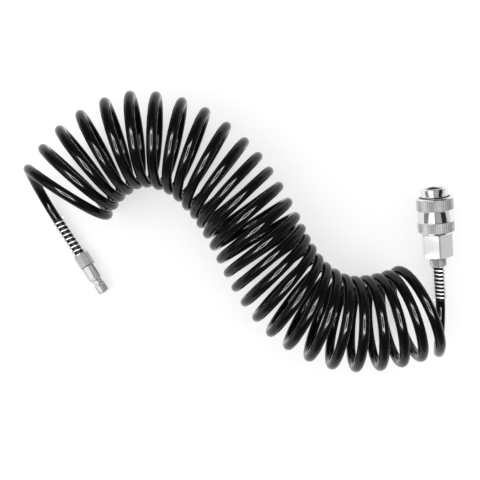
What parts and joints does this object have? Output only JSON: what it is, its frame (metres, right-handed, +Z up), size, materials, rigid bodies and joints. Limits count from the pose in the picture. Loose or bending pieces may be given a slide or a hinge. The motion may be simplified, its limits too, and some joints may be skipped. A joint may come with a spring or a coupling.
{
  "type": "coiled air hose",
  "caption": "Coiled compressed-air hose that lies in an S, with a quick plug on one end and a sleeve-locked quick socket on the other, each behind a spring guard.",
  "frame": {"origin": "middle of the underside of the bounding box, on the surface that the hose lies on", "axes": "+X along the S, from the plug's side to the socket's side; +Y towards the back, the side that the socket's mouth points to; +Z up"},
  "size_m": [0.3679, 0.2307, 0.0785],
  "materials": {
    "hose_black": "glossy black polyurethane",
    "polished_nickel": "polished nickel plate",
    "knurled_nickel": "nickel plate, knurled and fluted bands",
    "spring_steel": "bright drawn wire",
    "bearing_steel": "ground and polished",
    "brass": "turned",
    "seal_rubber": "matt"
  },
  "bodies": {
    "plug_end": {"hose": "hose_black", "plug_body": "polished_nickel", "plug_hose_nut": "knurled_nickel", "plug_spring_guard": "spring_steel"},
    "socket_end": {"socket_cage": "polished_nickel", "socket_body": "polished_nickel", "socket_hose_nut": "knurled_nickel", "socket_spring_guard": "spring_steel", "sleeve_snap_ring": "spring_steel", "plug_packing_ring": "seal_rubber", "body_gasket": "seal_rubber", "valve_spring_seat": "brass", "valve_spring": "spring_steel", "sleeve_spring": "spring_steel"},
    "sleeve": {"locking_sleeve": "knurled_nickel"},
    "valve": {"valve_poppet": "brass", "poppet_seal": "seal_rubber"},
    "ball_1": {"locking_ball_1": "bearing_steel"},
    "ball_2": {"locking_ball_2": "bearing_steel"},
    "ball_3": {"locking_ball_3": "bearing_steel"},
    "ball_4": {"locking_ball_4": "bearing_steel"},
    "ball_5": {"locking_ball_5": "bearing_steel"},
    "ball_6": {"locking_ball_6": "bearing_steel"}
  },
  "joints": [
    {"name": "coil_stretch", "type": "slide", "parent": "plug_end", "child": "socket_end", "axis": [1, 0, 0], "range_m": [0, 1.1], "stiffness_N_per_m": 8, "deforming": ["hose"]},
    {"name": "sleeve_slide", "type": "slide", "parent": "socket_end", "child": "sleeve", "axis": [0.1443, -0.9656, -0.2164], "range_m": [0, 0.004], "stiffness_N_per_m": 1500, "springref_m": -0.002, "deforming": ["sleeve_spring"]},
    {"name": "valve_travel", "type": "slide", "parent": "socket_end", "child": "valve", "axis": [0.1443, -0.9656, -0.2164], "range_m": [0, 0.005], "stiffness_N_per_m": 400, "springref_m": -0.002, "deforming": ["valve_spring"]},
    {"name": "ball_slide_1", "type": "slide", "parent": "socket_end", "child": "ball_1", "axis": [0.5222, -0.1115, 0.8455], "range_m": [0, 0.001]},
    {"name": "ball_slide_2", "type": "slide", "parent": "socket_end", "child": "ball_2", "axis": [0.989, 0.1478, 0], "range_m": [0, 0.001]},
    {"name": "ball_slide_3", "type": "slide", "parent": "socket_end", "child": "ball_3", "axis": [0.4668, 0.2593, -0.8455], "range_m": [0, 0.001]},
    {"name": "ball_slide_4", "type": "slide", "parent": "socket_end", "child": "ball_4", "axis": [-0.5222, 0.1115, -0.8455], "range_m": [0, 0.001]},
    {"name": "ball_slide_5", "type": "slide", "parent": "socket_end", "child": "ball_5", "axis": [-0.989, -0.1478, 0], "range_m": [0, 0.001]},
    {"name": "ball_slide_6", "type": "slide", "parent": "socket_end", "child": "ball_6", "axis": [-0.4668, -0.2593, 0.8455], "range_m": [0, 0.001]}
  ],
  "couplings": [
    {"joint": "ball_slide_1", "follows": "sleeve_slide", "ratio": 0.25},
    {"joint": "ball_slide_2", "follows": "sleeve_slide", "ratio": 0.25},
    {"joint": "ball_slide_3", "follows": "sleeve_slide", "ratio": 0.25},
    {"joint": "ball_slide_4", "follows": "sleeve_slide", "ratio": 0.25},
    {"joint": "ball_slide_5", "follows": "sleeve_slide", "ratio": 0.25},
    {"joint": "ball_slide_6", "follows": "sleeve_slide", "ratio": 0.25}
  ]
}
